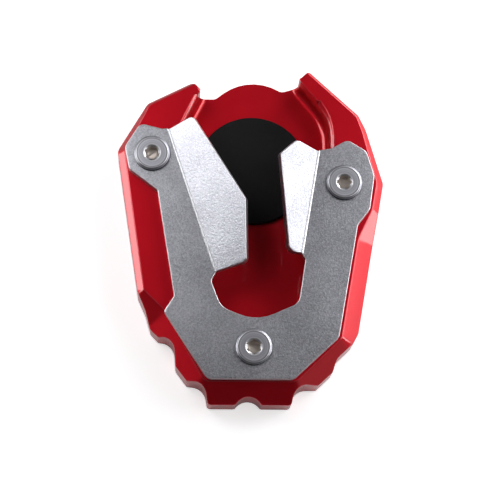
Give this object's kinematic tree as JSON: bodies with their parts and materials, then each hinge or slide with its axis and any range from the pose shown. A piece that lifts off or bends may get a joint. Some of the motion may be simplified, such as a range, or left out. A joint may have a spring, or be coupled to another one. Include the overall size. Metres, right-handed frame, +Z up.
{
  "type": "kickstand foot enlarger",
  "caption": "Enlarger for a motorbike kickstand's foot: a red anodised base with a pocket, closed by a folded steel clamp plate with screws, over a rubber pad",
  "frame": {"origin": "middle of the underside, on the surface that the part stands on", "axes": "+Z is up, +Y runs from the toe to the open mouth of the pocket, +X is to the right seen from above with the toe nearest"},
  "size_m": [0.0853, 0.1084, 0.0232],
  "materials": {
    "red_anodised": "red anodised satin",
    "blasted_steel": "bead blasted stainless",
    "rubber": "matt black rubber",
    "screw_steel": "turned stainless"
  },
  "bodies": {
    "root": {"base_plate": "red_anodised", "clamp_plate": "blasted_steel", "rubber_pad": "rubber", "clamp_screws": "screw_steel"}
  },
  "joints": []
}
